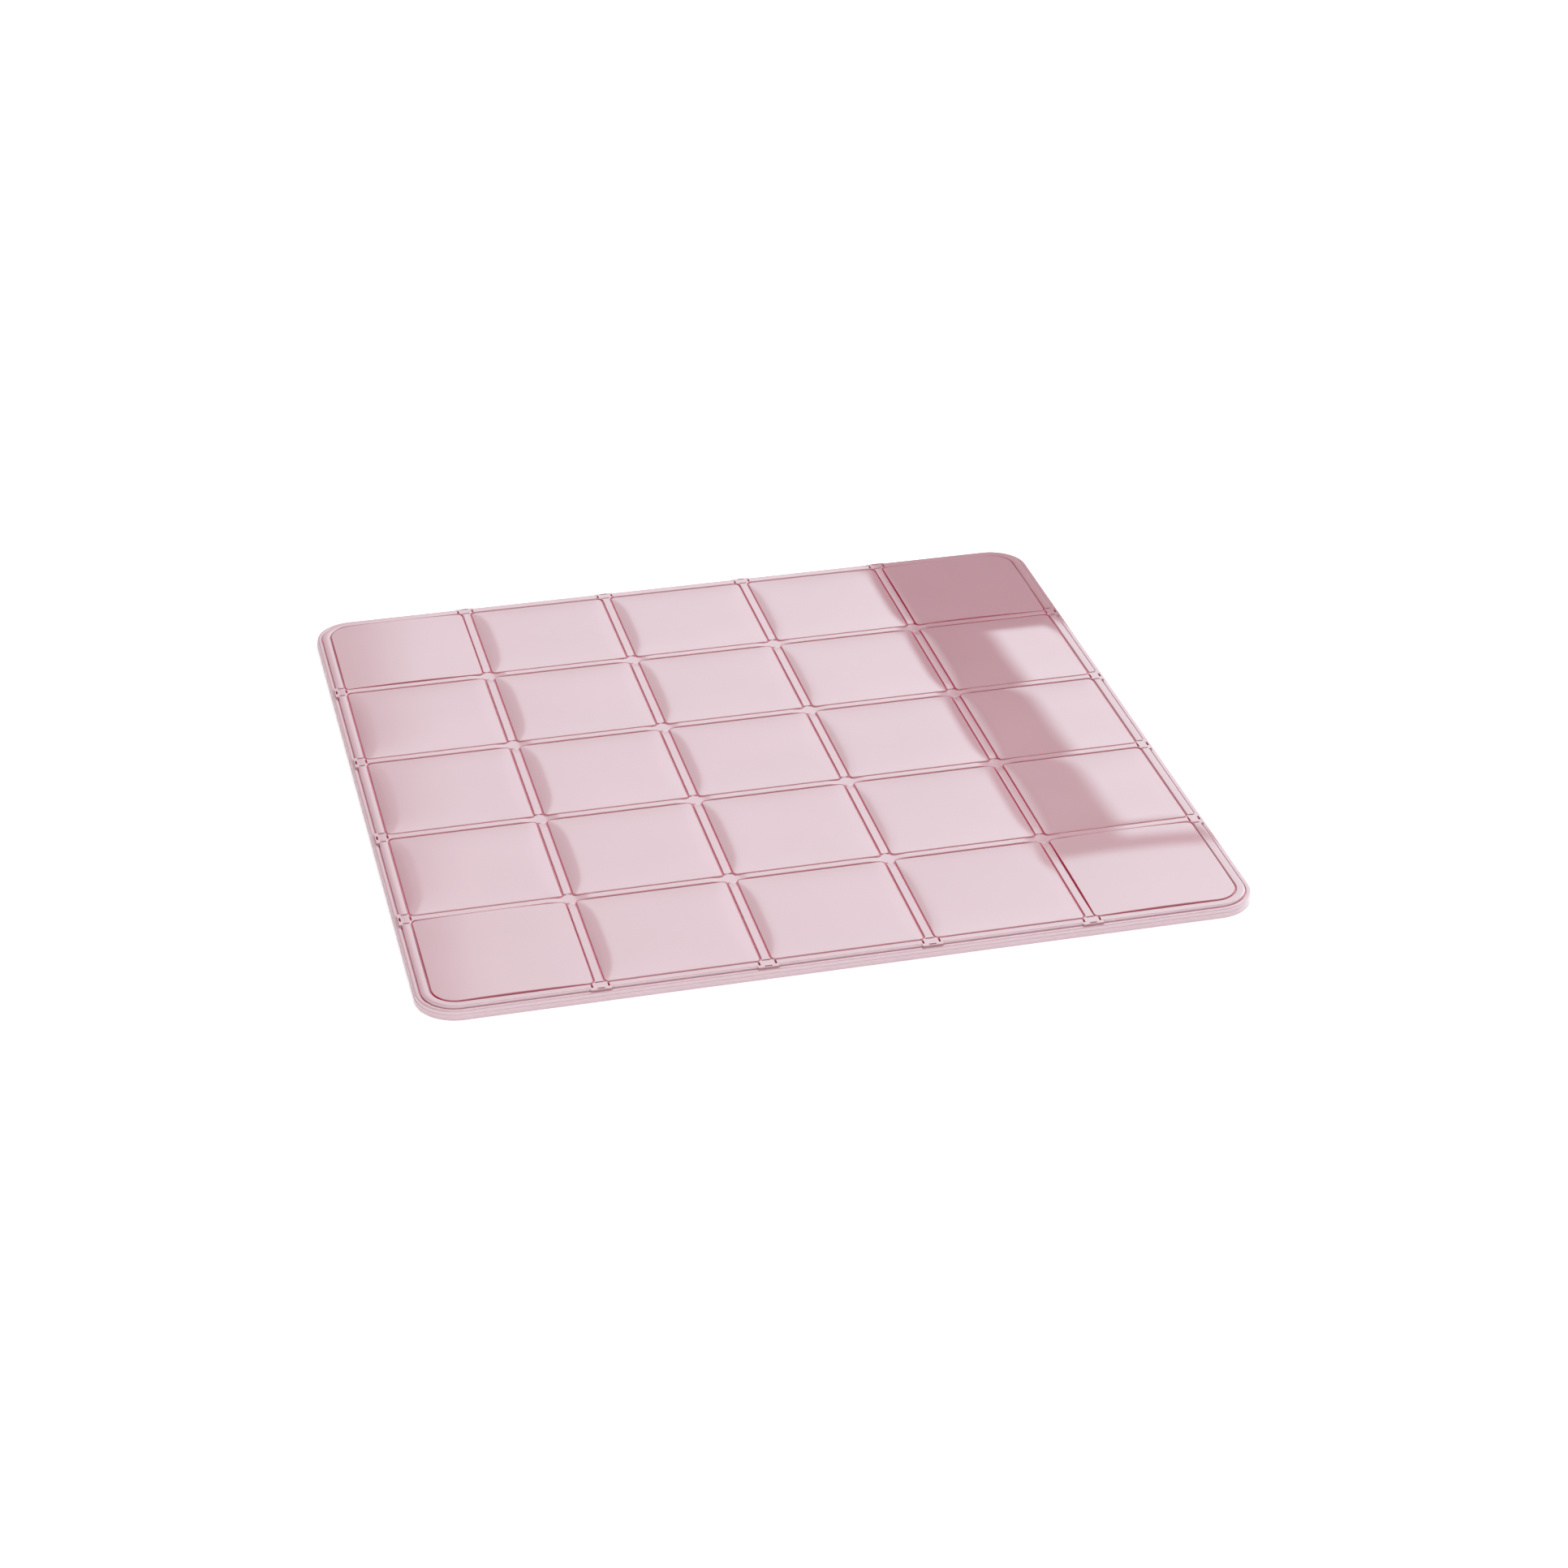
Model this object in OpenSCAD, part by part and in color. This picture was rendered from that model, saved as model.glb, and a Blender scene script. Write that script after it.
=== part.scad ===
// Shallow slab mould with a square grid of press-out cells.
// It lies on its open cavities, so its back is uppermost. Origin: centre of the
// resting face. +X right, +Y back, +Z up. Row 1 is the back row, column 1 the left one.

/* [Cells] */
// Distance from one rib centreline to the next
pitch = 50; // [30:1:80]
// Number of cells along each side
cells = 5; // [3:1:6]
// Width of a rib, and of the bead round the rim
rib_w = 2.7; // [1.5:0.1:3.5]
// Gap between a pad and the ribs round it
gap = 0.3; // [0.2:0.05:0.5]

/* [Heights] */
// Height of the ribs, of their heads and of the bead on the rim
rim_h = 3.6; // [3.4:0.1:4.2]
// How far two ribs dip where they cross, and the length over which they dip
node_drop = 0.4; // [0.1:0.1:0.6]
node_ramp = 3.5; // [2:0.5:6]
// How far the outer lip lies below the bead
lip_drop = 0.6; // [0.4:0.1:0.8]
// Height of the lower flange
flange_h = 1.8; // [1.2:0.1:2]
// Height of the lap where two ribs cross
lap_h = 1.4; // [1:0.1:1.8]

/* [Pads] */
// Height of the underside of a pad, which is the depth of its cavity
cavity_h = 1.9; // [1.5:0.1:2]
// How far the corners of a pad lie below the ribs
pad_sink = 0.12; // [0:0.02:0.3]
// How far a pillowed pad rises from its corners to its middle
pillow_rise = 0.8; // [0.4:0.1:1.2]
// Slope of the band along a pillowed pad's left and right sides, in degrees
band_slope = 8; // [5:1:12]
// How far a corner pad rises from its corners to its middle
corner_rise = 0.8; // [0.4:0.1:1]
// Radius of a pad's corners beside the ribs
pad_r = 1.5; // [1:0.1:2.5]

/* [Rim] */
// Radius of the outer corners of the lower flange
outer_r = 12.8; // [12:0.1:14]
// Width of the lower flange
flange_w = 4.8; // [4.2:0.1:5.5]
// How far the lower flange stands out past the rim above it
flange_step = 0.25; // [0.1:0.05:0.4]
// Width and depth of the groove between the bead and the outer lip
groove_w = 0.3; // [0.2:0.05:0.4]
groove_d = 0.9; // [0.9:0.1:1.2]
// Rounding of the lip and of the flange's upper edge
lip_r = 0.35; // [0.1:0.05:0.36]
flange_r = 0.2; // [0.1:0.05:0.3]
// Rounding of the bead
bead_r = 0.6; // [0.3:0.1:0.9]

/* [Rib heads] */
// How far a rib's head reaches out past the bead
head_out = 0.9; // [0.8:0.1:1]
// Width, depth and length of the slots round the stud in a rib's head
slot_w = 0.6; // [0.2:0.1:0.6]
slot_d = 0.6; // [0.3:0.1:0.8]
slot_l = 2.2; // [1.2:0.1:2.8]

/* [Hidden] */
half = cells * pitch / 2;
rib_half = rib_w / 2;
pad_w = pitch - rib_w - 2 * gap;
node_h = rim_h - node_drop;
star = rib_half + gap + pad_r;            // half width of a crossing with its fillets
side_slot = star - 0.65;                  // side slots' distance from a rib's centreline
fillet_r = gap + pad_r;
bead_in = half - rib_half;                // inner face of the rim
bead_out = half + rib_half;
lip_in = bead_out + groove_w;
flange_out = bead_in + flange_w;
lip_out = flange_out - flange_step;
head_end = bead_out + head_out;
corner = flange_out - outer_r;            // centre of the outer corner arcs
inner_r = bead_in - corner;
big_pad_r = inner_r - gap;
lap_gap = 0.05;                           // play of a rib in its notches
pad_edge = rim_h - pad_sink;
facets = 96;                              // round edges and corners
dome_steps = 10;                          // flats or rings of a pad's crown
skin = "#dfc8ce";
edge = "#c999a3";

pad_names = [for (r = [1:cells]) for (c = [1:cells]) pad_name(r, c)];
rib_names = [for (way = ["row", "column"]) for (n = [1:cells - 1]) rib_name(way, n)];
NODES = concat(["base_flange", "rim_frame"], rib_names, pad_names);
node = "all";

function pad_name(r, c) = str("pad_r", r, "_c", c);
function rib_name(way, n) = str(way, "_rib_", n);
function centre(n) = (n - (cells + 1) / 2) * pitch;
function rib_line(n) = n * pitch - half;
function at_end(n) = n == 1 || n == cells;
function drawn(name) = node == "all" || node == name;

// Square of width w with its corners rounded to radii, from the back right one on, turning left
module rounded_square(w, radii) {
    difference() {
        square(w, center = true);
        for (k = [0:3])
            rotate(90 * k)
                translate([w / 2 - radii[k], w / 2 - radii[k]])
                    difference() {
                        square(radii[k] + 1);
                        circle(radii[k], $fn = facets);
                    }
    }
}

// Block from x0 to x1 and z0 to z1 with its two upper corners rounded to radii
module section(x0, x1, z0, z1, r_in, r_out) {
    translate([x0, z0])
        square([x1 - x0, z1 - z0 - max(r_in, r_out)]);
    translate([x0 + r_in, z1 - max(r_in, r_out) - 0.01])
        square([x1 - x0 - r_in - r_out, max(r_in, r_out) + 0.01]);
    translate([x0 + r_in, z1 - r_in])
        circle(r_in, $fn = facets);
    translate([x1 - r_out, z1 - r_out])
        circle(r_out, $fn = facets);
}

// A section drawn at its distance from the middle, carried round the square with rounded corners
module ring() {
    for (k = [0:3])
        rotate(90 * k) {
            translate([corner, corner, 0])
                rotate_extrude(angle = 90, $fn = facets)
                    translate([-corner, 0])
                        children();
            translate([0, corner, 0])
                rotate([90, 0, 0])
                    linear_extrude(2 * corner)
                        children();
        }
}

module base_flange() {
    color(edge)
        ring() section(bead_in, flange_out, 0, flange_h, flange_r, flange_r);
}

// Bead, groove and outer lip, notched for the heads of the ribs
module rim_frame() {
    color(skin)
        difference() {
            ring() {
                section(bead_in, bead_out, flange_h, rim_h, bead_r, bead_r);
                translate([bead_out - bead_r, flange_h])
                    square([lip_in - bead_out + 2 * bead_r, rim_h - groove_d - flange_h]);
                section(lip_in, lip_out, flange_h, rim_h - lip_drop, lip_r, lip_r);
            }
            for (k = [0:3])
                rotate(90 * k)
                    for (n = [1:cells - 1])
                        translate([bead_in - 1, rib_line(n) - star - lap_gap, 0])
                            cube([head_end + lap_gap - bead_in + 1, 2 * (star + lap_gap), rim_h + 1]);
        }
}

// Side view of a rib, which dips at each crossing
module rib_side() {
    dips = [for (m = [1:cells - 1]) for (at = [
        [-star - node_ramp, rim_h], [-star, node_h], [star, node_h], [star + node_ramp, rim_h]
    ]) [rib_line(m) + at.x, at.y]];
    polygon(concat([[-bead_in, 0], [-bead_in, rim_h]], dips, [[bead_in, rim_h], [bead_in, 0]]));
}

// Plan of a crossing with a fillet in each corner; reach is how far it runs on past the rim's bead
module crossing(reach) {
    difference() {
        translate([-star, -star])
            square([star + reach, 2 * star]);
        for (side = [-1, 1]) {
            translate([-star, side * star])
                circle(fillet_r, $fn = facets);
            if (reach == star)
                translate([star, side * star])
                    circle(fillet_r, $fn = facets);
        }
    }
}

// Four slots round a square stud, measured from where a rib meets the bead's middle line
module slots() {
    for (side = [-1, 1]) {
        translate([side * (rib_half + slot_w / 2), 0])
            square([slot_w, slot_l], center = true);
        translate([0, side * side_slot])
            square([0.7 * rib_w, slot_w], center = true);
    }
}

// Head of a rib, which drops into the rim
module rib_head() {
    translate([half, 0, 0])
        difference() {
            translate([0, 0, flange_h])
                linear_extrude(rim_h - flange_h)
                    crossing(head_end - half);
            translate([0, 0, rim_h - slot_d])
                linear_extrude(slot_d + 1)
                    slots();
        }
}

// A rib along X with a head at each end
module rib() {
    rotate([90, 0, 0])
        linear_extrude(rib_w, center = true)
            rib_side();
    for (side = [0, 180])
        rotate(side)
            rib_head();
}

// A rib between two rows, laid over the column ribs and filleted where it crosses them
module row_rib(n) {
    color(skin)
        translate([0, -rib_line(n), 0])
            difference() {
                union() {
                    rib();
                    for (m = [1:cells - 1])
                        translate([rib_line(m), 0, lap_h])
                            linear_extrude(node_h - lap_h)
                                crossing(star);
                }
                for (m = [1:cells - 1])
                    translate([rib_line(m) - rib_half - lap_gap, -star, -1])
                        cube([rib_w + 2 * lap_gap, 2 * star, lap_h + 1]);
            }
}

// A rib between two columns, let in under the row ribs
module column_rib(n) {
    color(skin)
        translate([rib_line(n), 0, 0])
            rotate(90)
                difference() {
                    rib();
                    for (m = [1:cells - 1])
                        translate([rib_line(m) - star - lap_gap, -star, lap_h])
                            cube([2 * (star + lap_gap), 2 * star, node_h]);
                }
}

// Radius of each corner of a pad: large where it follows the rim's own corner
function pad_radii(r, c) = [
    r == 1 && c == cells ? big_pad_r : pad_r,
    r == 1 && c == 1 ? big_pad_r : pad_r,
    r == cells && c == 1 ? big_pad_r : pad_r,
    r == cells && c == cells ? big_pad_r : pad_r
];

// Dome over a corner pad, standing on its level edge
module round_crown() {
    reach = pad_w / sqrt(2);
    rings = [for (i = [0:dome_steps])
        [reach * i / dome_steps, pad_edge + corner_rise * (1 - pow(i / dome_steps, 2))]];
    rotate_extrude($fn = facets)
        polygon(concat(rings, [[reach, cavity_h], [0, cavity_h]]));
}

// Crown of a pillowed pad: an arch from front to back, cut off by a steeper band at each side
module arched_crown() {
    arch = [for (i = [-dome_steps / 2:dome_steps / 2])
        [pad_w * i / dome_steps, pad_edge + pillow_rise * (1 - pow(2 * i / dome_steps, 4))]];
    peak = pad_edge + pad_w / 2 * tan(band_slope);
    intersection() {
        rotate([90, 0, 90])
            linear_extrude(pad_w, center = true)
                polygon(concat([[-pad_w / 2, cavity_h]], arch, [[pad_w / 2, cavity_h]]));
        rotate([90, 0, 0])
            linear_extrude(pad_w, center = true)
                polygon([[-pad_w / 2, cavity_h], [-pad_w / 2, pad_edge], [0, peak],
                    [pad_w / 2, pad_edge], [pad_w / 2, cavity_h]]);
    }
}

// A cell's floor, seen from behind: a plate with a low crown over its cavity
module pad(r, c) {
    color(skin)
        translate([centre(c), -centre(r), 0])
            intersection() {
                translate([0, 0, cavity_h])
                    linear_extrude(rim_h)
                        rounded_square(pad_w, pad_radii(r, c));
                if (at_end(r) && at_end(c))
                    round_crown();
                else
                    arched_crown();
            }
}

if (drawn("base_flange")) base_flange();
if (drawn("rim_frame")) rim_frame();
for (n = [1:cells - 1]) {
    if (drawn(rib_name("row", n))) row_rib(n);
    if (drawn(rib_name("column", n))) column_rib(n);
}
for (r = [1:cells])
    for (c = [1:cells])
        if (drawn(pad_name(r, c))) pad(r, c);
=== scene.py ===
import math

import bpy
import numpy as np
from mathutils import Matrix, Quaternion, Vector

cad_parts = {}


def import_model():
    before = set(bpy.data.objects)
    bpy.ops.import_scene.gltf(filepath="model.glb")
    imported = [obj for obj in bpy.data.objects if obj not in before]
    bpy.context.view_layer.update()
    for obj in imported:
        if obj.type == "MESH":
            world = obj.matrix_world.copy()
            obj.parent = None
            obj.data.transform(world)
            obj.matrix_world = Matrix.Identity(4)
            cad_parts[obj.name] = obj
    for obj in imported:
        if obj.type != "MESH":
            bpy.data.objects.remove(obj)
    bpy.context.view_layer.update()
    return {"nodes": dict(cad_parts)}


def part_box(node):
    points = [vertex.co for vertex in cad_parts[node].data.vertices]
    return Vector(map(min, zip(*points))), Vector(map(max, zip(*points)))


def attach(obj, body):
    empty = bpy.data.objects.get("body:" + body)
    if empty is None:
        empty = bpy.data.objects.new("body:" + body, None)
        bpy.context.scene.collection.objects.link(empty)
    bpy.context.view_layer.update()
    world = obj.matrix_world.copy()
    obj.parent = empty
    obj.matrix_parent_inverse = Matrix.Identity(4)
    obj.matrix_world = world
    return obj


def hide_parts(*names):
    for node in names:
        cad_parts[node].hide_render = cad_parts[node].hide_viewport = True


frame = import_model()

MM = 0.001

# ---- Sizes read from the frame, in metres -------------------------------------------------


def middle(node):
    low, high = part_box(node)
    return (low + high) / 2


CELLS = round(math.sqrt(sum(name.startswith("pad_") for name in frame["nodes"])))
PITCH = middle("pad_r1_c2").x - middle("pad_r1_c1").x
HALF = CELLS * PITCH / 2                      # rib lines and bead line are PITCH apart
rim_low, rim_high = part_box("rim_frame")
rib_low, rib_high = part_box("row_rib_1")
pad_low, pad_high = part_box("pad_r3_c3")
FLANGE_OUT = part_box("base_flange")[1].x
FLANGE_TOP = rim_low.z
LIP_OUT = rim_high.x
RIM_TOP = rim_high.z
RIB_END = rib_high.x
RIB_TOP = rib_high.z
STAR = (rib_high.y - rib_low.y) / 2           # half width of a crossing with its fillets
PAD_HALF = (pad_high.x - pad_low.x) / 2
PAD_LOW = pad_low.z

# ---- Sizes of the shapes that the frame's boxes don't show ---------------------------------

RIB_HALF = 1.35 * MM
NODE_TOP = 3.2 * MM                           # top of the crossings
LAP_TOP = 1.4 * MM                            # where a row rib lies on a column rib
LAP_GAP = 0.05 * MM
FILLET = STAR - RIB_HALF
GAP = PITCH / 2 - RIB_HALF - PAD_HALF
OUTER_R = 12.8 * MM
CORNER = FLANGE_OUT - OUTER_R                 # centre of the rim's corner arcs
BEAD_IN = HALF - RIB_HALF
BEAD_OUT = HALF + RIB_HALF
LIP_IN = BEAD_OUT + 0.3 * MM
LIP_TOP = RIM_TOP - 0.6 * MM
GROOVE_FLOOR = RIM_TOP - 0.9 * MM
BIG_PAD_R = BEAD_IN - CORNER - GAP
PAD_R = FILLET - GAP
NODE_RAMP = 3.5 * MM                          # length over which a rib dips to a crossing
FOOT_CHAMFER = 0.3 * MM                       # on a rib's two lower edges

# Rounding of the edges
RIB_ROUND = 0.38 * MM
BEAD_ROUND = 0.5 * MM                         # of the bead's inner edge
BEAD_EDGE = 0.4 * MM                          # of its outer edge
LIP_ROUND = 0.35 * MM
FLANGE_ROUND = 0.25 * MM
PAD_ROUND = 0.35 * MM
CORNER_PAD_ROUND = 0.2 * MM

# Crowns of the pads
PAD_EDGE = RIB_TOP - 0.12 * MM                # level of a pad's corners
ARCH = 0.52 * MM                              # rise of a pillow from its front edge
DOME = 0.26 * MM                              # further rise from its sides
CORNER_DOME = 0.78 * MM                       # rise of a corner pad
BAND_SLOPE = math.tan(math.radians(9))        # band along a pillow's left and right sides
SOFTENING = 0.3 * MM                          # how softly that band meets the pillow

# Thin web in the groove round a pad
WEB_DEPTH = 0.4 * MM
WEB_THICK = 0.3 * MM
WEB_CLEAR = 0.03 * MM                         # from the web to the pad and to the ribs

# Slots round the stud in a rib's head
SLOT_W = 0.6 * MM
SLOT_DEPTH = 0.6 * MM
SLOT_LENGTH = 2.2 * MM
SIDE_SLOT = 2.5 * MM                          # side slots' distance from a rib's centreline
SIDE_SLOT_HALF = 0.95 * MM                    # half their length

# Painted shade in the creases, as a share of the painted shade's colour
PAINTED_SHADE_REACH = 0.25 * MM                            # how far it reaches in from an edge
# Strengths of the painted shade: faint along the row grooves, strong along the column grooves
# and in the slots
ROW_PAINTED_SHADE = 0.6
COLUMN_PAINTED_SHADE = 1.4
SLOT_PAINTED_SHADE = 1.6
SLOT_FAINT_PAINTED_SHADE = 0.1                               # for the slots in front of and behind a stud
# Over this height above the rim groove's floor, the painted light on the wall turns into the
# floor's painted shade
GROOVE_SHADE_FADE = 0.12 * MM                       # from the rim groove's floor up to the pale wall

# Grid lines in from an edge, in mm, closest together where the surface bends most
PAD_LINES = (0, 0.03, 0.09, 0.17, 0.27, 0.37, 0.45, 0.55, 0.8, 1.15, 2.0, 2.6, 3.2, 3.8, 4.4,
             5.1, 5.9, 6.8, 8.8, 10.3, 12, 14, 16, 18, 20.2)
RIB_LINES = (0, 0.03, 0.09, 0.18, 0.3, 0.43, 0.55, 0.7, 1.0)
HEAD_LINES = (0, 0.03, 0.09, 0.18, 0.3)
HEAD_MIDDLE_LINES = (0, 0.5, 1.5)             # out from a head's middle line instead
SIDE_SLOT_LINES = (-0.95, -0.75, 0, 0.75, 0.95)     # along a side slot, from its middle
SLOT_LINES = (-1, -0.87, -0.75, 0, 0.75, 0.87, 1)   # across a slot, as shares of half its width
LINE_DIGITS = 8                               # decimals at which two lines count as one
LINE_PLAY = 1e-9                              # in metres, so that a rib's end keeps its line

# Steps of the arcs
CORNER_STEPS = 20
FILLET_STEPS = 8
EDGE_STEPS = 6
BEAD_STEPS = 7
FLANGE_STEPS = 4
WEB_STEPS = 12
RAMP_STEPS = 10

SHARP_ANGLE = math.radians(38)                # edges that turn by more than this stay crisp

# ---- Mesh building --------------------------------------------------------------------------


def turned(points, quarter):
    """Points turned by quarter turns, to the left, about the vertical through the middle."""
    c, s = [(1, 0), (0, 1), (-1, 0), (0, -1)][quarter % 4]
    out = np.array(points, float)
    x, y = out[..., 0].copy(), out[..., 1].copy()
    out[..., 0] = c * x - s * y
    out[..., 1] = s * x + c * y
    return out


def moved(points, x, y):
    return np.array(points, float) + np.array([x, y, 0.0])


def cap(points, low, painted_shading, below=1):
    """A closed shell under a grid of surface points: (vertices, faces, painted shade and light
    values), with one such value for the foot of its sides."""
    n, m = points.shape[:2]
    index = np.arange(n * m).reshape(n, m)
    loop = np.concatenate([index[:, 0], index[-1, 1:], index[-2::-1, -1], index[0, -2:0:-1]])
    verts = points.reshape(-1, 3)
    skirt = verts[loop].copy()
    skirt[:, 2] = low
    first = n * m
    under = first + np.arange(len(loop))
    faces = [
        (index[i, j], index[i + 1, j], index[i + 1, j + 1], index[i, j + 1])
        for i in range(n - 1)
        for j in range(m - 1)
    ]
    for k in range(len(loop)):
        following = (k + 1) % len(loop)
        faces.append((under[k], under[following], loop[following], loop[k]))
    faces.append(tuple(reversed(under)))
    shade = np.concatenate([np.asarray(painted_shading).reshape(-1), np.full(len(loop), below)])
    return np.vstack([verts, skirt]), faces, shade


def sweep(sections, closed, painted_shading=None):
    """A closed shell through sections, which are loops of the same number of points. The painted
    shade or light holds one value for each point of a section, or one list of them for each
    section."""
    sections = np.array(sections, float)
    count, size = sections.shape[:2]
    shade = np.zeros(size) if painted_shading is None else np.array(painted_shading, float)
    shade = np.broadcast_to(shade, (count, size)).reshape(-1)
    faces = []
    for i in range(count if closed else count - 1):
        for k in range(size):
            a, b = i * size + k, i * size + (k + 1) % size
            step = size if i < count - 1 else -i * size
            faces.append((a, b, b + step, a + step))
    if not closed:
        faces.append(tuple(reversed(range(size))))
        faces.append(tuple(range((count - 1) * size, count * size)))
    return sections.reshape(-1, 3), faces, shade


def signed_volume(verts, faces):
    total = 0.0
    for face in faces:
        a = verts[face[0]]
        for i in range(1, len(face) - 1):
            total += np.dot(a, np.cross(verts[face[i]], verts[face[i + 1]]))
    return total


def piece(name, shells, material, body, replaced=None):
    """Joins closed shells into one object, which may stand for a CAD node."""
    verts, faces, shades, start = [], [], [], 0
    for shell_verts, shell_faces, shade in shells:
        flip = signed_volume(shell_verts, shell_faces) < 0
        verts.append(shell_verts)
        shades.append(shade)
        for face in shell_faces:
            face = [int(v) + start for v in face]
            faces.append(face[::-1] if flip else face)
        start += len(shell_verts)
    mesh = bpy.data.meshes.new(name)
    mesh.from_pydata(np.vstack(verts).tolist(), [], faces)
    # Painted shade (above 0) and painted light (below 0) for each vertex, read by the silicone
    # materials
    painted_shading = mesh.attributes.new("painted_shading", "FLOAT", "POINT")
    painted_shading.data.foreach_set("value", np.concatenate(shades).astype(np.float32))
    mesh.polygons.foreach_set("use_smooth", [True] * len(mesh.polygons))
    mesh.set_sharp_from_angle(angle=SHARP_ANGLE)
    mesh.materials.append(material)
    obj = bpy.data.objects.new(name, mesh)
    bpy.context.scene.collection.objects.link(obj)
    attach(obj, body)
    if replaced:
        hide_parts(replaced)
    return obj


# ---- Shape rules ----------------------------------------------------------------------------


def rounding(inset, r):
    """How far a rounded edge of radius r lies below its face, at a distance in from the edge."""
    share = 1 - np.clip(np.asarray(inset) / r, 0, 1)
    return r - r * np.sqrt(1 - share * share)


def soft_min(a, b, width):
    """The lesser of a and b, blended where they differ by less than width."""
    share = np.clip(0.5 + 0.5 * (b - a) / width, 0, 1)
    return b * (1 - share) + a * share - width * share * (1 - share)


def smooth(t):
    t = np.clip(t, 0, 1)
    return t * t * (3 - 2 * t)


def painted_crease_shade(inset):
    """1 at an edge, falling to 0 over the width that takes the painted shade."""
    return 1 - smooth(np.asarray(inset) / PAINTED_SHADE_REACH)


def mirrored(insets, half):
    """Grid lines across a width of 2 * half, from their distances in from each edge, of
    which the last is half."""
    inner = [half - inset for inset in insets]
    return np.array([-place for place in inner] + inner[-2::-1])


def rib_line(n):
    return n * PITCH - HALF


def arc_angles(steps):
    """Angles of a quarter turn's steps, both ends included."""
    return [math.pi / 2 * i / steps for i in range(steps + 1)]


# ---- Pads -----------------------------------------------------------------------------------


def pad_lines():
    insets = [line * MM for line in PAD_LINES] + [PAD_R, BIG_PAD_R, PAD_HALF]
    return mirrored(sorted(insets), PAD_HALF)


def rounded_outline(x, y, radii):
    """Bends a square grid into a square with rounded corners; also gives the inset from it."""
    x, y = x.copy(), y.copy()
    inset = PAD_HALF - np.maximum(abs(x), abs(y))
    for (side_x, side_y), r in radii.items():
        u = (side_x * x - (PAD_HALF - r)) / r
        v = (side_y * y - (PAD_HALF - r)) / r
        at = (u > 0) & (v > 0)
        u, v = u[at], v[at]
        x[at] = side_x * (PAD_HALF - r + r * u * np.sqrt(1 - v * v / 2))
        y[at] = side_y * (PAD_HALF - r + r * v * np.sqrt(1 - u * u / 2))
        inset[at] = r * (1 - np.sqrt(np.clip(1 - (1 - u * u) * (1 - v * v), 0, 1)))
    return x, y, inset


def dome(x, y, rise):
    """Height over a pad that rises evenly from its corners to its middle."""
    return rise * (1 - (x * x + y * y) / (2 * PAD_HALF**2))


def pillow(x, y):
    """An arch from front to back, cut off by a steeper band along each side."""
    rise = (ARCH + DOME * (1 - (x / PAD_HALF) ** 2)) * (1 - (y / PAD_HALF) ** 4)
    return soft_min(rise, BAND_SLOPE * (PAD_HALF - abs(x)), SOFTENING)


def outer_corner(row, column):
    """Signs of x and y at the corner where a corner pad follows the rim, or None."""
    if row in (1, CELLS) and column in (1, CELLS):
        return -1 if column == 1 else 1, 1 if row == 1 else -1
    return None


def make_pad(row, column, material):
    name = f"pad_r{row}_c{column}"
    place = middle(name)
    outer = outer_corner(row, column)
    radii = {(i, j): BIG_PAD_R if (i, j) == outer else PAD_R for i in (-1, 1) for j in (-1, 1)}
    lines = pad_lines()
    x, y = np.meshgrid(lines, lines, indexing="ij")
    x, y, inset = rounded_outline(x, y, radii)
    if outer:
        z = PAD_EDGE + dome(x, y, CORNER_DOME) - rounding(inset, CORNER_PAD_ROUND)
    else:
        z = PAD_EDGE + pillow(x, y) - rounding(inset, PAD_ROUND)
    points = moved(np.stack([x, y, z], axis=-1), place.x, place.y)
    # Painted shade along the pad's edges, stronger at its left and right sides than at its front
    # and back
    painted_shade_strength = np.where(abs(x) > abs(y), COLUMN_PAINTED_SHADE, ROW_PAINTED_SHADE)
    shell = cap(points, PAD_LOW, painted_shade_strength * painted_crease_shade(inset))
    return piece(name + "_skin", [shell], material, name, name)


def web_round(outer):
    """Web round a pad whose middle is at the origin."""
    near, far, top = WEB_CLEAR, GAP - WEB_CLEAR, RIB_TOP - WEB_DEPTH
    outline = [(near, top - WEB_THICK), (far, top - WEB_THICK), (far, top), (near, top)]
    stations, shades = [], []
    for quarter, sign in enumerate([(1, 1), (-1, 1), (-1, -1), (1, -1)]):
        r = BIG_PAD_R if sign == outer else PAD_R
        centre = PAD_HALF - r
        for angle in arc_angles(WEB_STEPS):
            c, s = math.cos(angle), math.sin(angle)
            loop = [(centre + (r + step) * c, centre + (r + step) * s, z) for step, z in outline]
            stations.append(turned(loop, quarter))
            # Painted shade on the web, stronger where it runs along a column groove than along a
            # row groove
            sideways = (s if quarter % 2 else c) ** 2
            shades.append([ROW_PAINTED_SHADE + (COLUMN_PAINTED_SHADE - ROW_PAINTED_SHADE) * sideways])
    return sweep(stations, True, shades)


def make_webs(material):
    """Thin web at the bottom of the groove round each pad, all of one moulding."""
    shells = []
    for row in range(1, CELLS + 1):
        for column in range(1, CELLS + 1):
            place = middle(f"pad_r{row}_c{column}")
            verts, faces, shade = web_round(outer_corner(row, column))
            shells.append((moved(verts, place.x, place.y), faces, shade))
    return piece("groove_webs", shells, material, "frame")


# ---- Ribs -----------------------------------------------------------------------------------


def dip(distance):
    """Height of a rib at a distance from the middle of a crossing."""
    share = smooth((distance - RIB_HALF) / (STAR - RIB_HALF + NODE_RAMP))
    return NODE_TOP + (RIB_TOP - NODE_TOP) * share


def bay_stations(n):
    """(place, half width) along the rib between its crossings n - 1 and n."""
    start, end = rib_line(n - 1) + STAR, rib_line(n) - STAR
    near = [NODE_RAMP * i / RAMP_STEPS for i in range(RAMP_STEPS + 1)]
    places = [start + step for step in near] + [end - step for step in reversed(near)]
    return [(place, RIB_HALF) for place in places]


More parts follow.
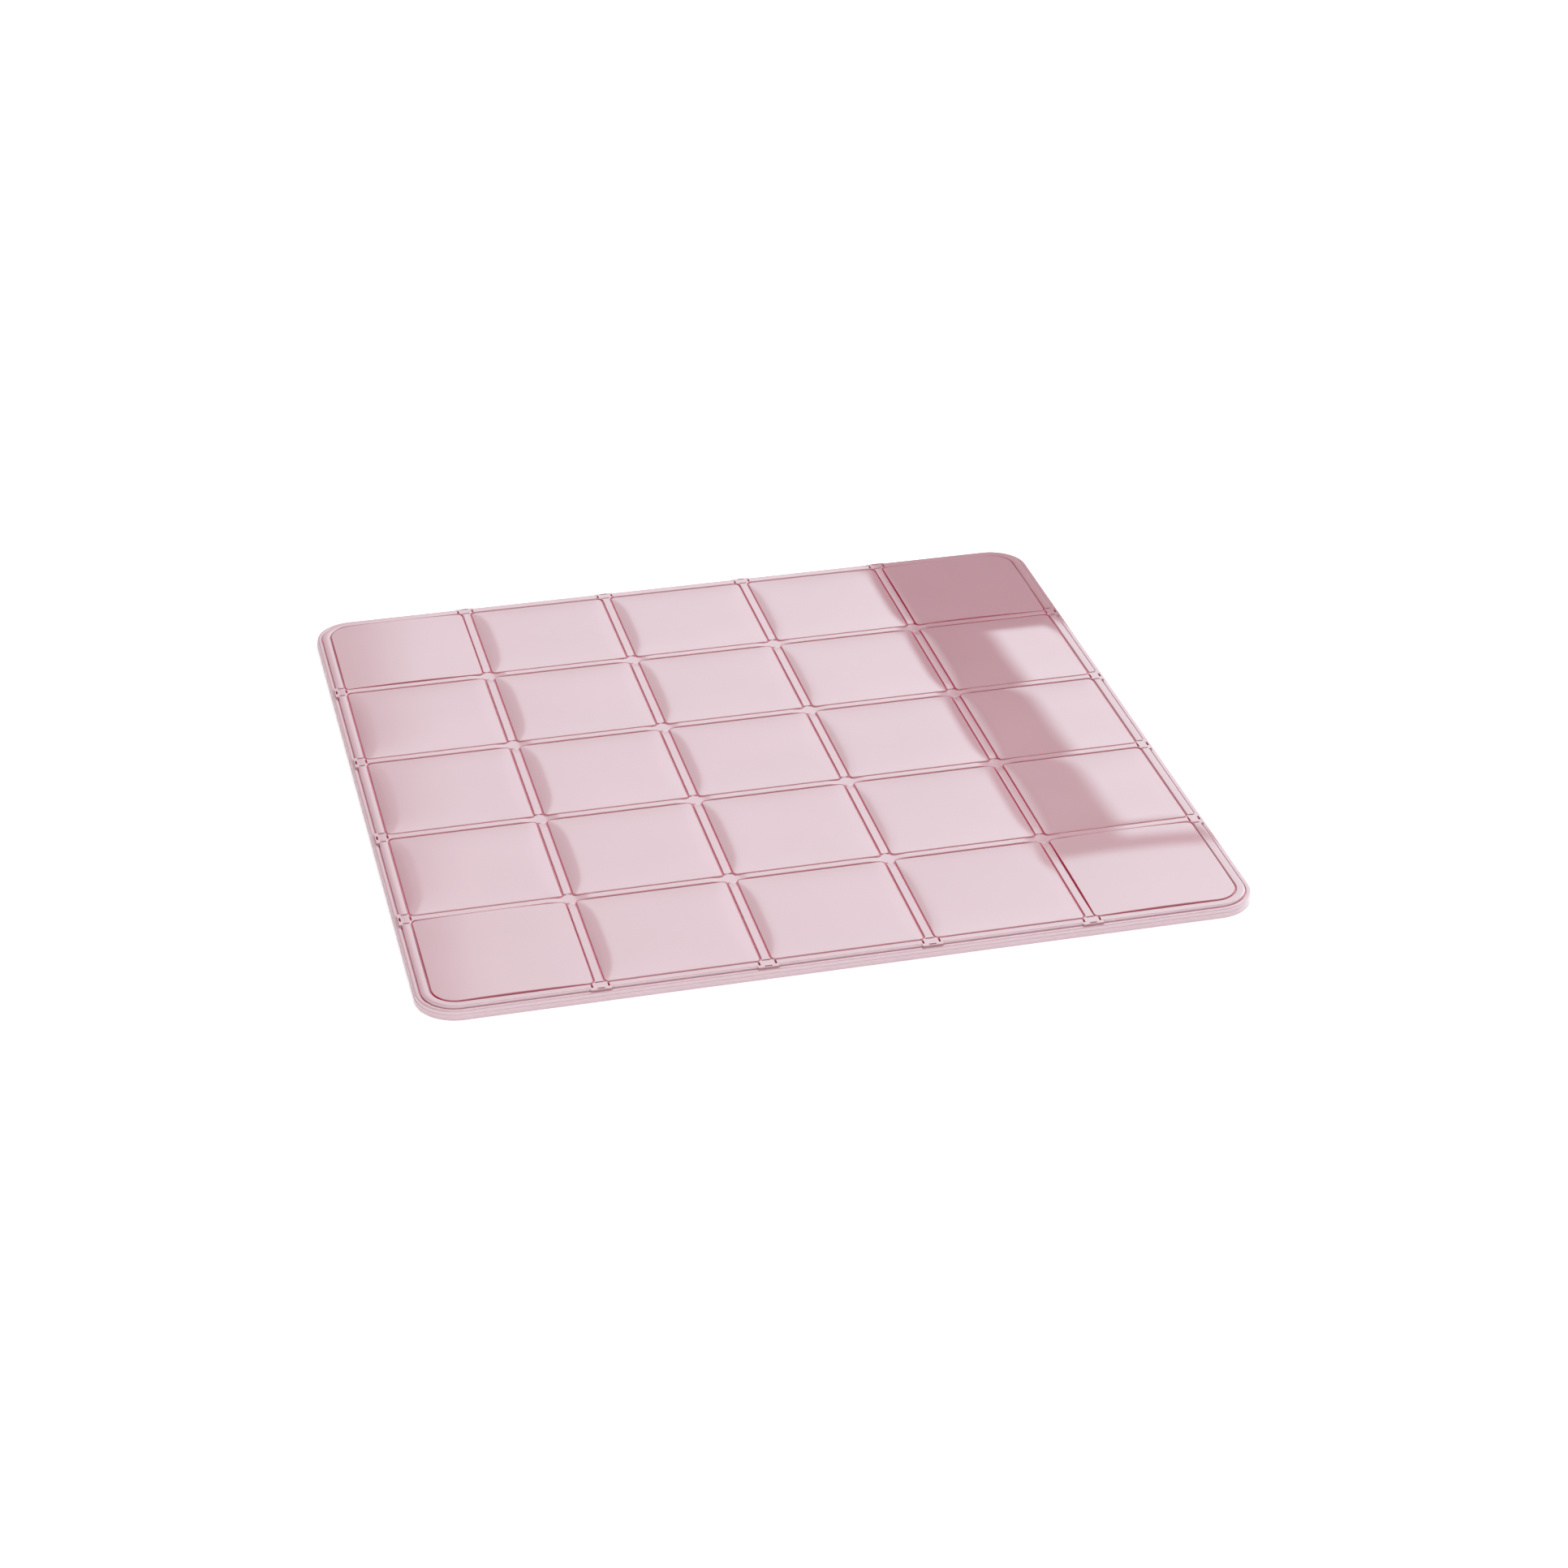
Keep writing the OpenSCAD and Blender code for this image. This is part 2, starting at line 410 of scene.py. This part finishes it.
def star_stations(n):
    """The same across crossing n, where the fillets widen the rib."""
    out = []
    for angle in arc_angles(FILLET_STEPS):
        out.append((STAR - FILLET * math.cos(angle), STAR - FILLET * math.sin(angle)))
    before = [(rib_line(n) - u, w) for u, w in reversed(out[:-1])]
    after = [(rib_line(n) + u, w) for u, w in out[:-1]]
    return before + [(rib_line(n), STAR)] + after


def rib_lines():
    """Grid lines across a rib, as shares of its half width."""
    insets = [line * MM for line in RIB_LINES] + [RIB_HALF]
    return mirrored(insets, RIB_HALF) / RIB_HALF


def rib_surface(stations, crossings):
    """Top of a rib along X on the middle line, rounded along its sides and fillets."""
    place, width = (np.array(v)[:, None] for v in zip(*stations))
    across = rib_lines()[None, :] * width
    x = place + 0 * across
    inset = RIB_HALF - abs(across) + 0 * x
    height = dip(np.min([abs(x - rib_line(n)) for n in range(1, CELLS)], axis=0))
    for line in crossings:
        u = STAR - abs(x - line)
        v = STAR - abs(across)
        near = u > 0
        inset = np.where(near, np.hypot(np.clip(u, 0, None), v) - FILLET, inset)
        height = np.where(near, dip(np.hypot(x - line, across)), height)
    z = height - rounding(inset, RIB_ROUND)
    return np.stack([x, across, z], axis=-1), painted_crease_shade(inset)


def rib_foot(start, end, low, high):
    """Lower part of a rib along X, with its bottom corners taken off."""
    cut = FOOT_CHAMFER
    loop = [(-RIB_HALF, high), (-RIB_HALF, low + cut), (-RIB_HALF + cut, low),
            (RIB_HALF - cut, low), (RIB_HALF, low + cut), (RIB_HALF, high)]
    return sweep([[(x, y, z) for y, z in loop] for x in (start, end)], closed=False)


def groove(offset, width):
    """1 in the middle of a groove, 0 outside it, with steep sides."""
    return smooth((width / 2 - abs(offset)) / (width / 8))


def joined(lines):
    """Grid lines in order, each of them once."""
    return sorted(set(np.round(lines, LINE_DIGITS)))


def head_lines():
    """Grid lines of a head at the +X end: places along X, and distances off the middle line
    where the head is widest."""
    w = SLOT_W / 2
    end = SLOT_LENGTH / 2
    slot_lines = [w * share for share in SLOT_LINES]
    places = [HALF - STAR + FILLET - FILLET * math.cos(a) for a in arc_angles(FILLET_STEPS)]
    places += [HALF - RIB_HALF - w + step for step in slot_lines]
    places += [HALF + line * MM for line in SIDE_SLOT_LINES]
    places += [HALF + RIB_HALF + w + step for step in slot_lines]
    places = np.array(joined(places + [RIB_END]))
    across = [line * MM for line in HEAD_MIDDLE_LINES] + [end - w, end - w / 4, end]
    across += [SIDE_SLOT + step for step in slot_lines]
    across = joined(across + [STAR - line * MM for line in HEAD_LINES])
    across = np.array([-line for line in across[:0:-1]] + across)
    return places[places <= RIB_END + LINE_PLAY], across


def head_surface(end_shade, side_shade):
    """Top of a rib's head at the +X end, with four slots round a small square stud. Those
    across the rib take end_shade of painted shade and those along it side_shade."""
    places, lines = head_lines()
    w = SLOT_W / 2
    end = SLOT_LENGTH / 2
    x = places[:, None] + 0 * lines[None, :]
    along = x - HALF
    fillet = STAR - np.sqrt(np.clip(FILLET**2 - (along + STAR) ** 2, 0, None))
    width = np.where(along < -RIB_HALF, fillet, STAR)
    y = width * lines[None, :] / STAR
    across = abs(y)
    inset = np.hypot(np.clip(STAR + along, 0, None), STAR - across) - FILLET
    inset = np.where(along < 0, inset, PAINTED_SHADE_REACH)
    near_line = smooth((end - across) / (w / 4))
    inner = groove(along + RIB_HALF + w, SLOT_W) * near_line
    outer = groove(along - RIB_HALF - w, SLOT_W) * near_line
    sides = groove(across - SIDE_SLOT, SLOT_W) * smooth((SIDE_SLOT_HALF - abs(along)) / (w / 2))
    slots = np.maximum(np.maximum(inner, outer), sides)
    z = RIM_TOP - rounding(inset, RIB_ROUND) - SLOT_DEPTH * slots
    shade = np.maximum(end_shade * np.maximum(inner, outer), side_shade * sides)
    return np.stack([x, y, z], axis=-1), np.maximum(painted_crease_shade(inset), shade)


def make_rib(way, n, material):
    """Row ribs run along X over the column ribs, which are let in under them."""
    # Painted shade along the edges: faint on row ribs, strong on column ribs
    shells = []
    over = way == "row"
    inner_lines = [rib_line(m) for m in range(1, CELLS)]
    if over:
        stations = bay_stations(1)
        for m in range(1, CELLS):
            stations += star_stations(m)[1:-1] + bay_stations(m + 1)
        surface, painted_shading = rib_surface(stations, inner_lines)
        shells.append(cap(surface, LAP_TOP, ROW_PAINTED_SHADE * painted_shading))
        ends = [-BEAD_IN] + inner_lines + [BEAD_IN]
        for m in range(CELLS):
            start = ends[m] + (RIB_HALF + LAP_GAP if m else 0)
            end = ends[m + 1] - (RIB_HALF + LAP_GAP if m < CELLS - 1 else 0)
            shells.append(rib_foot(start, end, 0, LAP_TOP))
    else:
        for m in range(1, CELLS + 1):
            surface, painted_shading = rib_surface(bay_stations(m), [])
            shells.append(cap(surface, LAP_TOP, COLUMN_PAINTED_SHADE * painted_shading))
        shells.append(rib_foot(-BEAD_IN, BEAD_IN, 0, LAP_TOP))
    # Painted shade in the slots: strong in those to a stud's left and right, faint in those in
    # front of and behind it
    shades = (SLOT_PAINTED_SHADE, SLOT_FAINT_PAINTED_SHADE) if over else (SLOT_FAINT_PAINTED_SHADE, SLOT_PAINTED_SHADE)
    head, painted_shading = head_surface(*shades)
    for quarter in (0, 2):
        # Painted light on the lower part of the head's sides
        shells.append(cap(turned(head, quarter), FLANGE_TOP, painted_shading, below=-1))
    line = rib_line(n)
    placed = []
    for verts, faces, shade in shells:
        verts = moved(verts, 0, -line) if over else moved(turned(verts, 1), line, 0)
        placed.append((verts, faces, shade))
    node = f"{way}_rib_{n}"
    return piece(node + "_skin", placed, material, "frame", node)


# ---- Rim ------------------------------------------------------------------------------------


def arc_points(cx, cz, r, start, end, steps=EDGE_STEPS):
    """Points on an arc from one angle to another, in degrees, both ends included."""
    angles = [math.radians(start + (end - start) * i / steps) for i in range(steps + 1)]
    return [(cx + r * math.cos(a), cz + r * math.sin(a)) for a in angles]


def round_block(x0, x1, low, top, r):
    """Outline of a block with its two upper corners rounded."""
    return [(x0, low)] + arc_points(x0 + r, top - r, r, 180, 90) + arc_points(
        x1 - r, top - r, r, 90, 0) + [(x1, low)]


def bead_outline():
    """Bead and the floor of the groove outside it."""
    left = arc_points(BEAD_IN + BEAD_ROUND, RIM_TOP - BEAD_ROUND, BEAD_ROUND, 180, 90,
                      BEAD_STEPS)
    right = arc_points(BEAD_OUT - BEAD_EDGE, RIM_TOP - BEAD_EDGE, BEAD_EDGE, 90, 0,
                       BEAD_STEPS)
    floor = [(BEAD_OUT, GROOVE_FLOOR + GROOVE_SHADE_FADE), (BEAD_OUT, GROOVE_FLOOR),
             (LIP_IN, GROOVE_FLOOR), (LIP_IN, FLANGE_TOP)]
    return [(BEAD_IN, FLANGE_TOP)] + left + right + floor


# Painted shading along the outlines: above 0 painted shade, below 0 painted light
BEAD_PAINTED_SHADING = [1, 1.3, 0.6] + [0] * 8 + [-0.3, -0.7, -1.1, -1.4, -1.6, -1.6, -1.4, 1.4, 1.4, 1]
LIP_PAINTED_SHADING = [0] * (EDGE_STEPS + 2) + [-i / EDGE_STEPS for i in range(EDGE_STEPS + 1)] + [-1]


def on_side(outline, t):
    """An outline, drawn at its distance from the middle, at place t along the +X side."""
    return np.array([(x, t, z) for x, z in outline])


def on_corner(outline, angle):
    """The same at an angle round the rim's corner, whose arc is centred on CORNER."""
    c, s = math.cos(angle), math.sin(angle)
    return np.array([(CORNER + (x - CORNER) * c, CORNER + (x - CORNER) * s, z)
                     for x, z in outline])


def ring(outline, painted_shading=None):
    """An outline carried all the way round the rim."""
    stations = []
    for quarter in range(4):
        for angle in arc_angles(CORNER_STEPS):
            stations.append(turned(on_corner(outline, angle), quarter))
    return sweep(stations, True, painted_shading)


def bead_between(n, quarter):
    """Bead along one side between rib heads n and n + 1."""
    ends = (rib_line(n) + STAR, rib_line(n + 1) - STAR)
    stations = [turned(on_side(bead_outline(), t), quarter) for t in ends]
    return sweep(stations, False, BEAD_PAINTED_SHADING)


def bead_corner(quarter):
    """Bead round one corner, from the last rib head before it to the first one after it."""
    end = on_side(bead_outline(), rib_line(CELLS - 1) + STAR)
    bend = [on_corner(bead_outline(), angle) for angle in arc_angles(CORNER_STEPS)]
    stations = [end] + bend + [end[:, [1, 0, 2]]]
    return sweep([turned(s, quarter) for s in stations], False, BEAD_PAINTED_SHADING)


def make_rim(material):
    lip = round_block(LIP_IN, LIP_OUT, FLANGE_TOP, LIP_TOP, LIP_ROUND)
    shells = [ring(lip, LIP_PAINTED_SHADING)]
    for quarter in range(4):
        shells.append(bead_corner(quarter))
        for n in range(1, CELLS - 1):
            shells.append(bead_between(n, quarter))
    return piece("rim_skin", shells, material, "frame", "rim_frame")


def make_flange(material):
    r = FLANGE_ROUND
    corners = [(BEAD_IN + r, r, 270), (BEAD_IN + r, FLANGE_TOP - r, 180),
               (FLANGE_OUT - r, FLANGE_TOP - r, 90), (FLANGE_OUT - r, r, 0)]
    outline = []
    for x, z, start in corners:
        outline += arc_points(x, z, r, start, start - 90, FLANGE_STEPS)
    return piece("flange_skin", [ring(outline)], material, "frame",
                 "base_flange")


# ---- Node trees -----------------------------------------------------------------------------


def wire(tree, socket, value):
    """Joins a socket to another node's output, or sets it to a number or a colour."""
    if isinstance(value, bpy.types.NodeSocket):
        tree.links.new(value, socket)
    else:
        socket.default_value = value


def math_node(tree, operation, *values):
    node = tree.nodes.new("ShaderNodeMath")
    node.operation = operation
    for socket, value in zip(node.inputs, values):
        wire(tree, socket, value)
    return node.outputs["Value"]


def product(tree, first, *others):
    for other in others:
        first = math_node(tree, "MULTIPLY", first, other)
    return first


def ramp(tree, value, start, end, interpolation="SMOOTHSTEP", reach=(0, 1)):
    """The first value of reach at start and before it, the second at end and past it."""
    node = tree.nodes.new("ShaderNodeMapRange")
    node.interpolation_type = interpolation
    node.inputs["From Min"].default_value = start
    node.inputs["From Max"].default_value = end
    node.inputs["To Min"].default_value, node.inputs["To Max"].default_value = reach
    wire(tree, node.inputs["Value"], value)
    return node.outputs["Result"]


def blend(tree, factor, under, over, rule="MIX"):
    """Mixes the colour over into the colour under. A factor past 1 goes beyond it."""
    node = tree.nodes.new("ShaderNodeMix")
    node.data_type = "RGBA"
    node.blend_type = rule
    node.clamp_factor = False
    wire(tree, node.inputs["Factor"], factor)
    wire(tree, node.inputs["A"], under)
    wire(tree, node.inputs["B"], over)
    return node.outputs["Result"]


# ---- Materials ------------------------------------------------------------------------------

PINK = (0.37, 0.2, 0.222, 1)
PINK_DEEP = (0.355, 0.19, 0.21, 1)
# Dark rose of the painted shade in creases and grooves
PINK_PAINTED_SHADE = (0.4, 0.08, 0.115, 1)
# Lighter pink of the painted light: the whole colour of the flange's walls, and what the painted
# light mixes toward
PINK_PAINTED_LIGHT = (0.53, 0.4, 0.435, 1)
PINK_PAINTED_LIGHT_DEEP = (0.515, 0.385, 0.42, 1)
PAD_GLOSS = 0.1                               # roughness
FRAME_GLOSS = 0.11
EDGE_GLOSS = 0.2
SILICONE_IOR = 1.45
CLOUDS = (28, 3)                              # scale and detail of the pigment's clouding
SMEARS = (90, 2)                              # of the uneven gloss
GRAIN = (1500, 2)                             # of the fine grain
CLOUD_RANGE = (0.3, 0.7)                      # noise that the clouding and the gloss use
GLOSS_SPREAD = (0.9, 1.1)                     # factors on the roughness
GRAIN_STRENGTH = 0.05
GRAIN_HEIGHT = 0.05 * MM


def silicone(name, colour, deep, roughness):
    """Moulded silicone: faint clouding of the pigment, painted shade where the painted shading
    value is above 0 and painted light where it is below 0, uneven satin gloss and very fine
    grain."""
    material = bpy.data.materials.new(name)
    material.use_nodes = True
    tree = material.node_tree
    shader = tree.nodes["Principled BSDF"]
    shader.inputs["IOR"].default_value = SILICONE_IOR
    place = tree.nodes.new("ShaderNodeTexCoord").outputs["Object"]

    def noise(scale, detail):
        node = tree.nodes.new("ShaderNodeTexNoise")
        node.inputs["Scale"].default_value = scale
        node.inputs["Detail"].default_value = detail
        tree.links.new(place, node.inputs["Vector"])
        return node.outputs["Fac"]

    clouds = ramp(tree, noise(*CLOUDS), *CLOUD_RANGE, "LINEAR")
    attribute = tree.nodes.new("ShaderNodeAttribute")
    attribute.attribute_name = "painted_shading"
    painted_shading = attribute.outputs["Fac"]
    painted_shade = math_node(tree, "MAXIMUM", painted_shading, 0)
    painted_light = math_node(tree, "MAXIMUM", math_node(tree, "MULTIPLY", painted_shading, -1), 0)
    base = blend(tree, clouds, colour, deep)
    base = blend(tree, painted_shade, base, PINK_PAINTED_SHADE)
    base = blend(tree, painted_light, base, PINK_PAINTED_LIGHT)
    tree.links.new(base, shader.inputs["Base Color"])
    limits = [roughness * share for share in GLOSS_SPREAD]
    smears = ramp(tree, noise(*SMEARS), *CLOUD_RANGE, "LINEAR", limits)
    tree.links.new(smears, shader.inputs["Roughness"])
    bump = tree.nodes.new("ShaderNodeBump")
    bump.inputs["Strength"].default_value = GRAIN_STRENGTH
    bump.inputs["Distance"].default_value = GRAIN_HEIGHT
    tree.links.new(noise(*GRAIN), bump.inputs["Height"])
    tree.links.new(bump.outputs["Normal"], shader.inputs["Normal"])
    return material


# ---- Stage ----------------------------------------------------------------------------------

FLOOR_REACH = 6.0
FLOOR_WHITE = (0.93, 0.93, 0.93, 1)
FLOOR_GLOW = 0.2                              # keeps the shadows on it faint

# Studio light: bearings in degrees clockwise from +Y, and elevations in degrees
GLOW_RISE = (-10, 2)                          # bearings over which a first glow appears
GLOW = 0.4                                    # its share of the window's light
WINDOW_RISE = (3.5, 7.5)                      # left side of the window
WINDOW_FALL = (95, 65)                        # right side of the window
WINDOW_DRIFT = (8.5, 34)                      # bearings over which it grows a little brighter
DRIFT_GAIN = 0.36
DRIFT_START = 0.9
WINDOW_CLIMB = (15, 45)                       # elevations over which it grows brighter
CLIMB_GAIN = 1.4
CLIMB_START = 0.45
WINDOW_LEVEL = (26, 44)                       # bearings beyond which it stays bright low down
LEVEL_LIGHT = 1.25
WINDOW_END = (65, 50)                         # top of the window
KEY_BEARING = 195                             # softbox behind the camera
KEY_SIDES = (55, 30)
KEY_RISE = (15, 30)
WINDOW_LIGHT = (2.4, 3.1, 3.2, 1)
SURROUND_LIGHT = (0.5, 0.45, 0.45, 1)
KEY_LIGHT = (2.2, 2.2, 2.2, 1)

# Dark net over the right side, which dims what the gloss shows there
FLAG_HEIGHT = RIM_TOP + 0.25 * PITCH
FLAG_X = (1.605 * PITCH, 4.6 * PITCH)
FLAG_Y = (-1.375 * PITCH, 5 * PITCH)
OPENING_X = 2.14 * PITCH                      # its opening runs from here off to the right
OPENING_Y = (-1.19 * PITCH, 1.81 * PITCH)
FLAG_SOFT = 0.09 * PITCH                      # half width of its faded borders
FLAG_GLOW = 0.9                               # of its front, fading to none further back
FLAG_DARK_FROM = 2 * PITCH


def flat_sheet(name, corners, material):
    """A stage object with one face."""
    mesh = bpy.data.meshes.new(name)
    mesh.from_pydata(corners, [], [(0, 1, 2, 3)])
    mesh.materials.append(material)
    sheet = bpy.data.objects.new(name, mesh)
    bpy.context.scene.collection.objects.link(sheet)
    return sheet


def make_floor():
    material = bpy.data.materials.new("pale_floor")
    material.use_nodes = True
    shader = material.node_tree.nodes["Principled BSDF"]
    shader.inputs["Base Color"].default_value = FLOOR_WHITE
    shader.inputs["Roughness"].default_value = 1.0
    shader.inputs["Specular IOR Level"].default_value = 0.0
    shader.inputs["Emission Color"].default_value = (1, 1, 1, 1)
    shader.inputs["Emission Strength"].default_value = FLOOR_GLOW
    reach = FLOOR_REACH
    corners = [(-reach, -reach, 0), (reach, -reach, 0), (reach, reach, 0), (-reach, reach, 0)]
    flat_sheet("floor", corners, material)


def make_world():
    """Soft studio surround: dim all round, with a broad window at the back right, which
    brightens upward, and a large softbox behind the camera."""
    world = bpy.data.worlds.new("studio")
    bpy.context.scene.world = world
    world.use_nodes = True
    tree = world.node_tree
    split = tree.nodes.new("ShaderNodeSeparateXYZ")
    place = tree.nodes.new("ShaderNodeTexCoord").outputs["Generated"]
    tree.links.new(place, split.inputs["Vector"])
    bearing = math_node(tree, "ARCTAN2", split.outputs["X"], split.outputs["Y"])
    elevation = math_node(tree, "ARCSINE", split.outputs["Z"])

    def over(angle, limits, interpolation="SMOOTHSTEP"):
        return ramp(tree, angle, *(math.radians(limit) for limit in limits), interpolation)

    glow = product(tree, over(bearing, GLOW_RISE), GLOW)
    rise = math_node(tree, "MULTIPLY_ADD", over(bearing, WINDOW_RISE), 1 - GLOW, glow)
    drift = over(bearing, WINDOW_DRIFT, "LINEAR")
    across = math_node(tree, "MULTIPLY_ADD", drift, DRIFT_GAIN, DRIFT_START)
    climb = over(elevation, WINDOW_CLIMB, "LINEAR")
    upward = math_node(tree, "MULTIPLY_ADD", climb, CLIMB_GAIN, CLIMB_START)
    level = product(tree, over(bearing, WINDOW_LEVEL), LEVEL_LIGHT)
    upward = math_node(tree, "MAXIMUM", upward, level)
    window = product(tree, rise, over(bearing, WINDOW_FALL), across, upward,
                     over(elevation, WINDOW_END))
    turn = math_node(tree, "SUBTRACT", bearing, math.radians(KEY_BEARING))
    behind = math_node(tree, "ABSOLUTE", math_node(tree, "WRAP", turn, math.pi, -math.pi))
    key = product(tree, over(behind, KEY_SIDES), over(elevation, KEY_RISE))
    light = blend(tree, window, SURROUND_LIGHT, WINDOW_LIGHT, "ADD")
    light = blend(tree, key, light, KEY_LIGHT, "ADD")
    tree.links.new(light, tree.nodes["Background"].inputs["Color"])


def flag_material():
    material = bpy.data.materials.new("flag_net")
    material.use_nodes = True
    tree = material.node_tree
    split = tree.nodes.new("ShaderNodeSeparateXYZ")
    place = tree.nodes.new("ShaderNodeTexCoord").outputs["Object"]
    tree.links.new(place, split.inputs["Vector"])
    x, y = split.outputs["X"], split.outputs["Y"]

    def past(value, edge):
        return ramp(tree, value, edge - FLAG_SOFT, edge + FLAG_SOFT)

    def before(value, edge):
        return ramp(tree, value, edge + FLAG_SOFT, edge - FLAG_SOFT)

    front, back = OPENING_Y
    opening = product(tree, past(x, OPENING_X), past(y, front), before(y, back))
    density = product(tree, past(x, FLAG_X[0]), past(y, FLAG_Y[0]),
                      math_node(tree, "SUBTRACT", 1, opening))
    dark = tree.nodes.new("ShaderNodeEmission")
    glow = product(tree, ramp(tree, y, FLAG_DARK_FROM, FLAG_Y[0]), FLAG_GLOW)
    tree.links.new(glow, dark.inputs["Strength"])
    clear = tree.nodes.new("ShaderNodeBsdfTransparent")
    mix = tree.nodes.new("ShaderNodeMixShader")
    tree.links.new(density, mix.inputs["Fac"])
    tree.links.new(clear.outputs["BSDF"], mix.inputs[1])
    tree.links.new(dark.outputs["Emission"], mix.inputs[2])
    tree.links.new(mix.outputs["Shader"], tree.nodes["Material Output"].inputs["Surface"])
    return material


def make_flags():
    """The net is out of the camera's sight, and only the gloss shows it."""
    left, front = FLAG_X[0] - FLAG_SOFT, FLAG_Y[0] - FLAG_SOFT
    right, back = FLAG_X[1], FLAG_Y[1]
    corners = [(left, front), (right, front), (right, back), (left, back)]
    flags = flat_sheet("flags", [(x, y, FLAG_HEIGHT) for x, y in corners], flag_material())
    flags.visible_camera = False
    flags.visible_diffuse = False
    flags.visible_shadow = False


# ---- Camera ---------------------------------------------------------------------------------

LENS = 79.17
SENSOR = 36
AIM = (0.098 * PITCH, -0.448 * PITCH, RIM_TOP)
DISTANCE = 22.137                             # from the aim, in pitches
TURN_LEFT = math.radians(13.51)               # of the camera's place, from straight in front
HEIGHT_ANGLE = math.radians(29.46)
ROLL = math.radians(-0.255)
FARTHEST_SEEN = 100


def make_camera():
    data = bpy.data.cameras.new("camera")
    data.lens = LENS
    data.sensor_width = SENSOR
    data.clip_end = FARTHEST_SEEN
    camera = bpy.data.objects.new("camera", data)
    bpy.context.scene.collection.objects.link(camera)
    back = Vector((-math.sin(TURN_LEFT) * math.cos(HEIGHT_ANGLE),
                   -math.cos(TURN_LEFT) * math.cos(HEIGHT_ANGLE), math.sin(HEIGHT_ANGLE)))
    camera.location = Vector(AIM) + back * DISTANCE * PITCH
    camera.rotation_mode = "QUATERNION"
    camera.rotation_quaternion = (-back).to_track_quat("-Z", "Y") @ Quaternion((0, 0, 1), ROLL)
    bpy.context.scene.camera = camera


# ---- Build ----------------------------------------------------------------------------------

make_camera()
make_floor()
make_world()
make_flags()
bpy.context.scene.view_settings.view_transform = "Standard"

pad_silicone = silicone("pad_silicone", PINK, PINK_DEEP, PAD_GLOSS)
frame_silicone = silicone("frame_silicone", PINK, PINK_DEEP, FRAME_GLOSS)
# The flange takes the lighter pink as painted light on its walls
edge_silicone = silicone("edge_silicone", PINK_PAINTED_LIGHT, PINK_PAINTED_LIGHT_DEEP, EDGE_GLOSS)

make_flange(edge_silicone)
make_rim(frame_silicone)
make_webs(frame_silicone)
for number in range(1, CELLS):
    make_rib("row", number, frame_silicone)
    make_rib("column", number, frame_silicone)
for row in range(1, CELLS + 1):
    for column in range(1, CELLS + 1):
        make_pad(row, column, pad_silicone)
